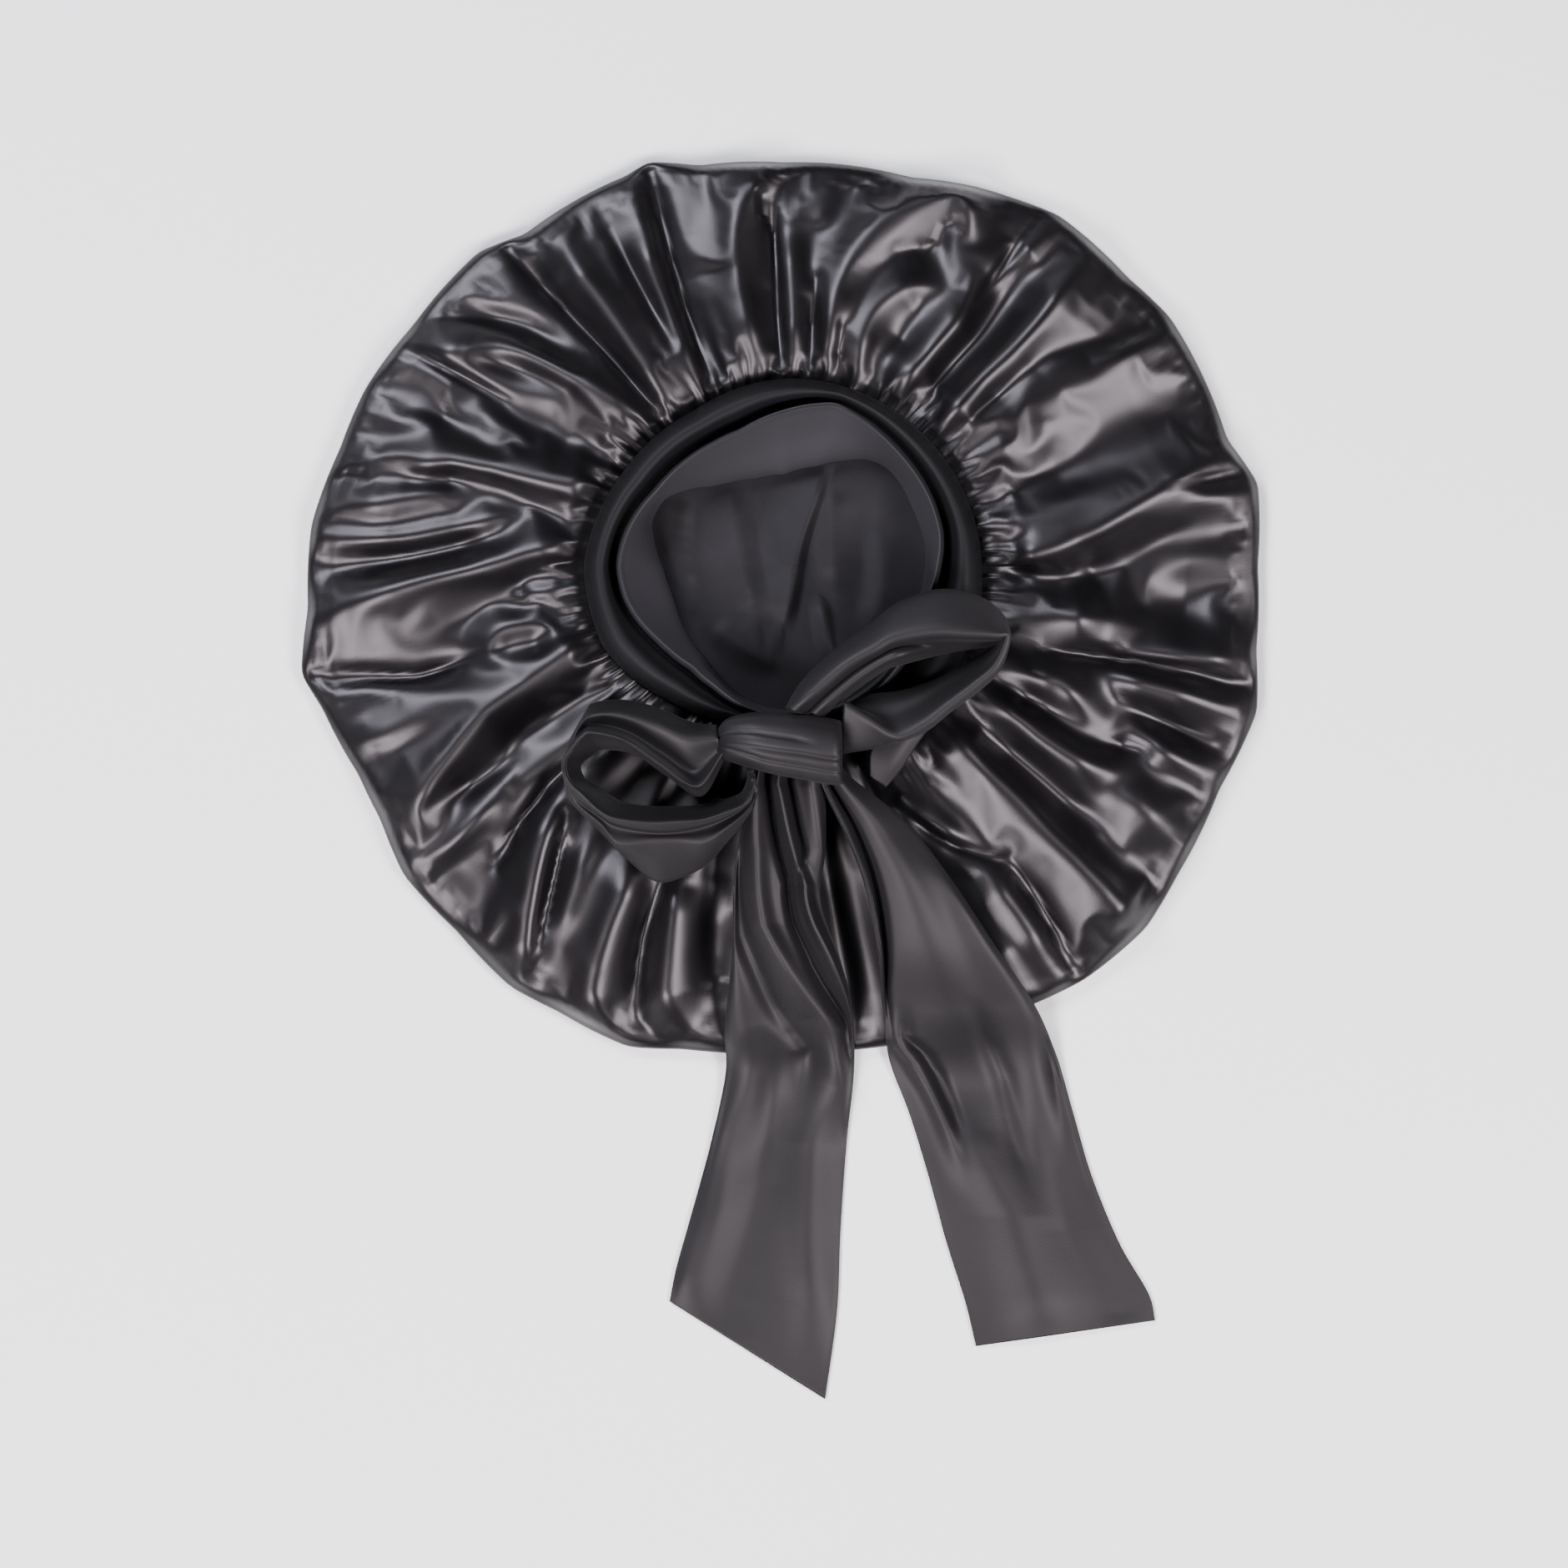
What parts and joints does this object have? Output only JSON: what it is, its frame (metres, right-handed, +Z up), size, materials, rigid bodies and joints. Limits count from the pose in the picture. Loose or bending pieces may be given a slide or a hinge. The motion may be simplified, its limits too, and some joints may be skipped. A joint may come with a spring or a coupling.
{
  "type": "sleep bonnet",
  "caption": "Round gathered satin sleep bonnet lying flat, opening up, with a lined hollow, a rolled head band and its two ends tied in a bow in front.",
  "frame": {"origin": "on the surface it lies on, under the middle of the whole outline", "axes": "+Z up out of the opening, +Y from the tie ends towards the far rim, +X to the right seen from above"},
  "size_m": [0.379, 0.4906, 0.0607],
  "materials": {
    "satin": "glossy black satin, folded and gathered",
    "lining": "matt black woven lining, lightly creased",
    "tie_cloth": "matt black brushed stretch cloth"
  },
  "bodies": {
    "root": {"satin_shell": "satin", "lining": "lining", "head_band": "tie_cloth", "bow_knot": "tie_cloth", "left_loop": "tie_cloth", "right_loop": "tie_cloth", "left_tail": "tie_cloth", "right_tail": "tie_cloth"}
  },
  "joints": []
}
